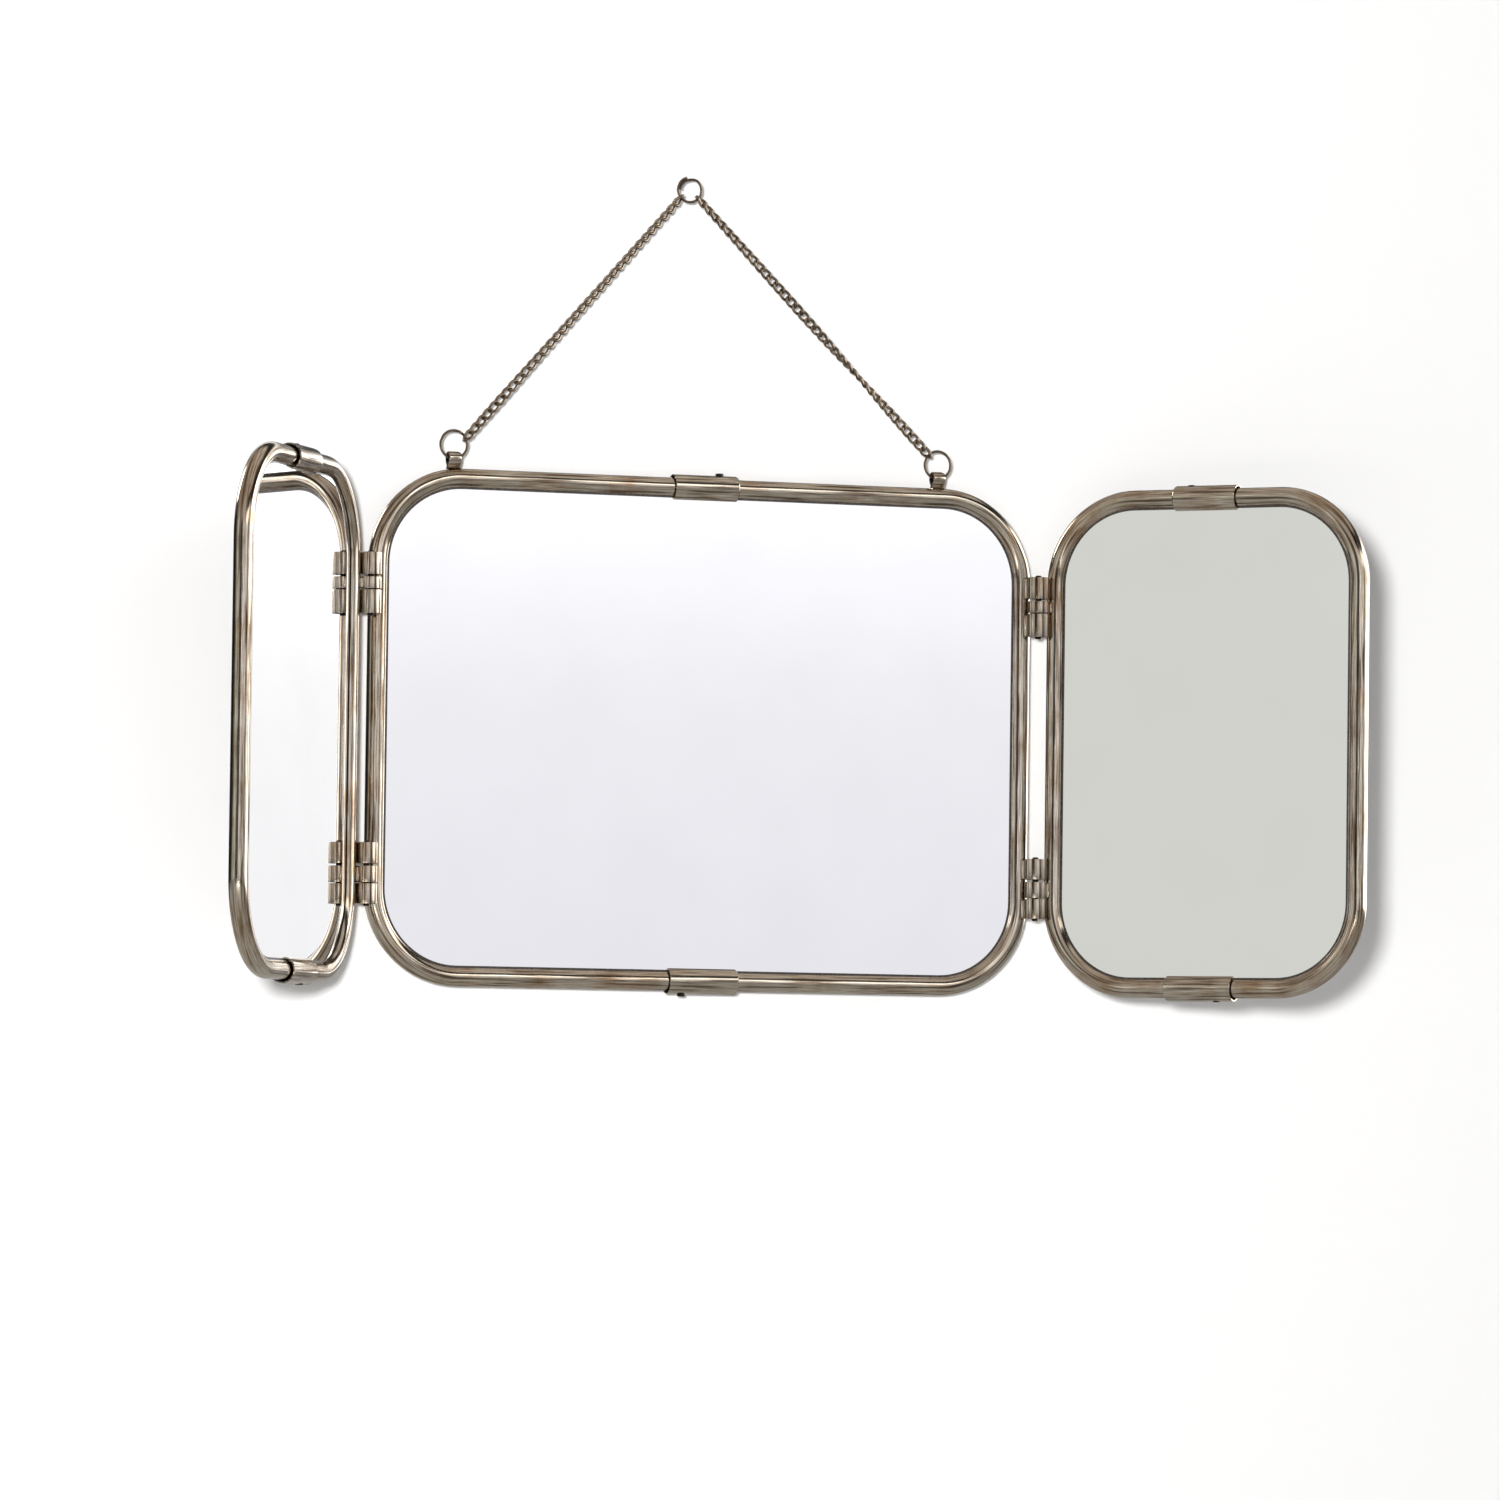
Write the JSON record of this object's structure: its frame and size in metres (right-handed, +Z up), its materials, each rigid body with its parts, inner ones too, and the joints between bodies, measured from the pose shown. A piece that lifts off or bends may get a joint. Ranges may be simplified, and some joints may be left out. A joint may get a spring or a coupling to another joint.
{
  "type": "triptych wall mirror",
  "caption": "Folding triptych wall mirror: a wide centre mirror with a narrower hinged leaf on each side, in slotted round-tube metal frames, hung by a chain from a ring.",
  "frame": {"origin": "where the nail bears on the inside of the top ring", "axes": "+Z up, +X to the viewer's right, -Y out of the wall towards the viewer"},
  "size_m": [0.5828, 0.1517, 0.4021],
  "materials": {
    "frame_tube": "aged nickel-plated brass tube, brushed lengthwise, taupe with brown wear and pale streaks",
    "sleeve": "aged nickel-plated brass, finely brushed lengthwise",
    "hinge_barrel": "aged nickel-plated brass, brushed along the barrel",
    "lug": "aged nickel-plated brass strip",
    "hinge_pin": "blackened steel",
    "grub_screw": "blackened steel",
    "ring": "dark bronzed wire",
    "chain": "dark bronzed curb chain with bright rubbed edges",
    "mirror_glass": "silvered float glass",
    "back_panel": "dark lacquered sheet"
  },
  "bodies": {
    "hanger": {"ring_top": "ring", "ring_left": "ring", "ring_right": "ring", "chain_left": "chain", "chain_right": "chain"},
    "centre_frame": {"centre_tube_left": "frame_tube", "centre_tube_right": "frame_tube", "centre_sleeve_top": "sleeve", "centre_screw_top": "grub_screw", "centre_sleeve_bottom": "sleeve", "centre_screw_bottom": "grub_screw", "centre_mirror": "mirror_glass", "centre_back_panel": "back_panel", "left_upper_hinge_knuckle_top": "hinge_barrel", "left_upper_hinge_knuckle_bottom": "hinge_barrel", "left_upper_hinge_pin": "hinge_pin", "left_lower_hinge_knuckle_top": "hinge_barrel", "left_lower_hinge_knuckle_bottom": "hinge_barrel", "left_lower_hinge_pin": "hinge_pin", "lug_left": "lug", "right_upper_hinge_knuckle_top": "hinge_barrel", "right_upper_hinge_knuckle_bottom": "hinge_barrel", "right_upper_hinge_pin": "hinge_pin", "right_lower_hinge_knuckle_top": "hinge_barrel", "right_lower_hinge_knuckle_bottom": "hinge_barrel", "right_lower_hinge_pin": "hinge_pin", "lug_right": "lug"},
    "left_leaf": {"left_leaf_tube_free": "frame_tube", "left_leaf_tube_hinge": "frame_tube", "left_leaf_sleeve_top": "sleeve", "left_leaf_screw_top": "grub_screw", "left_leaf_sleeve_bottom": "sleeve", "left_leaf_screw_bottom": "grub_screw", "left_leaf_mirror": "mirror_glass", "left_leaf_back_panel": "back_panel", "left_upper_hinge_knuckle_middle": "hinge_barrel", "left_lower_hinge_knuckle_middle": "hinge_barrel"},
    "right_leaf": {"right_leaf_tube_hinge": "frame_tube", "right_leaf_tube_free": "frame_tube", "right_leaf_sleeve_top": "sleeve", "right_leaf_screw_top": "grub_screw", "right_leaf_sleeve_bottom": "sleeve", "right_leaf_screw_bottom": "grub_screw", "right_leaf_mirror": "mirror_glass", "right_leaf_back_panel": "back_panel", "right_upper_hinge_knuckle_middle": "hinge_barrel", "right_lower_hinge_knuckle_middle": "hinge_barrel"}
  },
  "joints": [
    {"name": "frame_tilt", "type": "hinge", "parent": "hanger", "child": "centre_frame", "pos_m": [0.01, 0, -0.1422], "axis": [-1, 0, 0], "range_deg": [0, 60]},
    {"name": "left_leaf_fold", "type": "hinge", "parent": "centre_frame", "child": "left_leaf", "pos_m": [-0.16395, -0.00835, -0.2725], "axis": [0, 0, 1], "range_deg": [-54.4, 125.6]},
    {"name": "right_leaf_fold", "type": "hinge", "parent": "centre_frame", "child": "right_leaf", "pos_m": [0.18395, -0.00835, -0.2725], "axis": [0, 0, -1], "range_deg": [-47.3, 132.7]}
  ]
}
